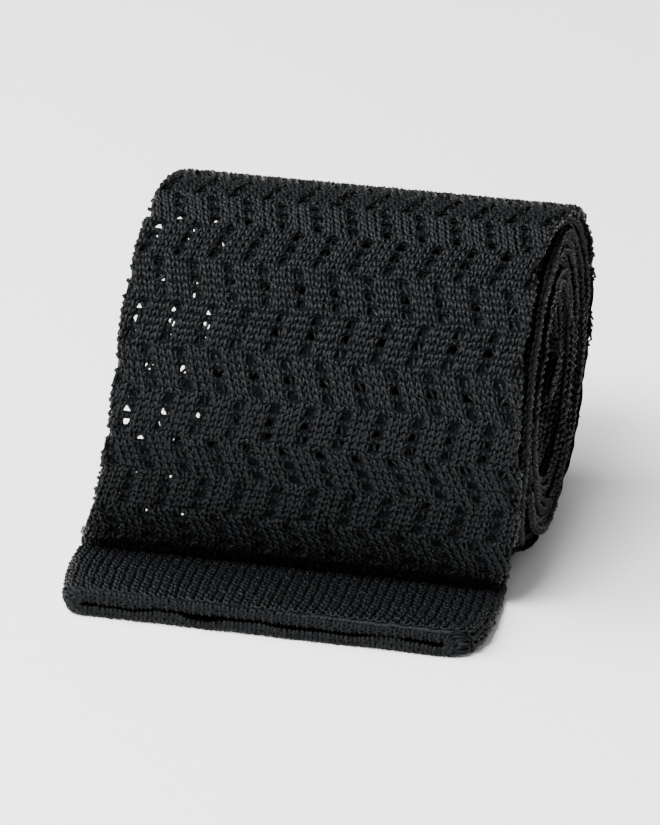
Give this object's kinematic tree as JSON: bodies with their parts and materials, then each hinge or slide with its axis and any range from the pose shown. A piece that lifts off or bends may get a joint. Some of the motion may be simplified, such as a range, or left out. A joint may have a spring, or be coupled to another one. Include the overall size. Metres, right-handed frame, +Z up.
{
  "type": "rolled knit tie",
  "caption": "Black openwork knit necktie, folded in half and rolled up, lying on its side with its square hollow end flat in front of the roll.",
  "frame": {"origin": "middle of the footprint, on the surface that the tie lies on", "axes": "+X along the roll towards the end where its spiral shows, -Y towards the tie's open wide end, +Z up"},
  "size_m": [0.077, 0.0704, 0.0577],
  "materials": {
    "openwork_knit": "black silk yarn in a zigzag openwork knit, soft satin sheen",
    "plain_knit": "black silk yarn in a plain knit with fine upright ribs"
  },
  "bodies": {
    "root": {"wide_end_band": "plain_knit", "wide_blade": "openwork_knit", "neck": "openwork_knit", "narrow_blade": "openwork_knit"}
  },
  "joints": []
}
